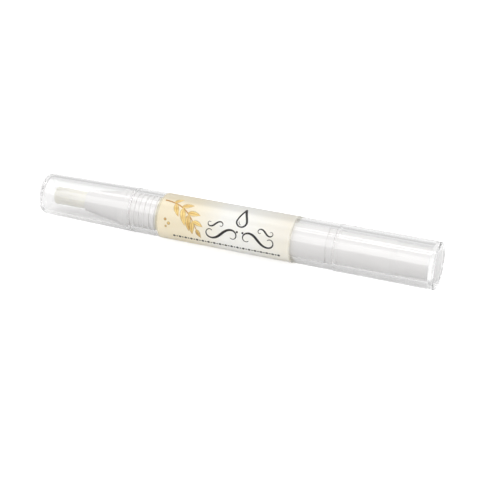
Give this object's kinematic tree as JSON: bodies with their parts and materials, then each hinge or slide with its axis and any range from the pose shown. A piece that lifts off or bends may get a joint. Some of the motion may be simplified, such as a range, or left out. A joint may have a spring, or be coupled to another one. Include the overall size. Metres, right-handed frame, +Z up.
{
  "type": "nail oil pen",
  "caption": "Clear twist-up nail oil pen: pull-off cap over a brush tip, labelled oil barrel with a screw-fed piston, and a clicking clear knob.",
  "frame": {"origin": "middle of the closed pen, on its axis", "axes": "+X along the pen's axis towards the knob's end, the cap and brush towards -X; Z up as the pen lies on a surface"},
  "size_m": [0.1278, 0.0142, 0.0142],
  "materials": {
    "clear_plastic": "polished clear moulded plastic",
    "white_plastic": "satin white moulded plastic",
    "bristle": "fine pale filaments",
    "tube": "smooth thin tube",
    "label_film": "printed film, cream with amber and dark print",
    "oil": "clear pale oil",
    "soft_ring": "soft matt ring",
    "screw_plastic": "satin moulded plastic",
    "spring_steel": "drawn spring wire"
  },
  "bodies": {
    "barrel": {"barrel": "clear_plastic", "label": "label_film", "oil_charge": "oil", "nozzle_seat": "white_plastic", "nozzle_cone": "white_plastic", "brush_collar": "white_plastic", "feed_tube": "tube", "brush_bristles": "bristle", "screw_nut": "white_plastic", "bearing_collar": "white_plastic"},
    "cap": {"cap_shell": "clear_plastic"},
    "knob": {"knob_shell": "clear_plastic", "drive_sleeve": "white_plastic", "sleeve_plug": "white_plastic", "friction_ring": "soft_ring", "click_ring": "screw_plastic", "click_spring": "spring_steel"},
    "screw": {"drive_screw": "screw_plastic"},
    "piston": {"piston": "white_plastic", "piston_ring": "soft_ring"}
  },
  "joints": [
    {"name": "cap_pull", "type": "slide", "parent": "barrel", "child": "cap", "axis": [-1, 0, 0], "range_m": [0, 0.032]},
    {"name": "knob_turn", "type": "hinge", "parent": "barrel", "child": "knob", "pos_m": [0, 0, 0], "axis": [-1, 0, 0], "range_deg": [0, 2880]},
    {"name": "screw_feed", "type": "slide", "parent": "knob", "child": "screw", "axis": [-1, 0, 0], "range_m": [0, 0.02401]},
    {"name": "piston_feed", "type": "slide", "parent": "barrel", "child": "piston", "axis": [-1, 0, 0], "range_m": [0, 0.02401], "deforming": ["oil_charge"]}
  ],
  "couplings": [
    {"joint": "screw_feed", "follows": "knob_turn", "m_per_rad": 0.00047746},
    {"joint": "piston_feed", "follows": "knob_turn", "m_per_rad": 0.00047746}
  ]
}
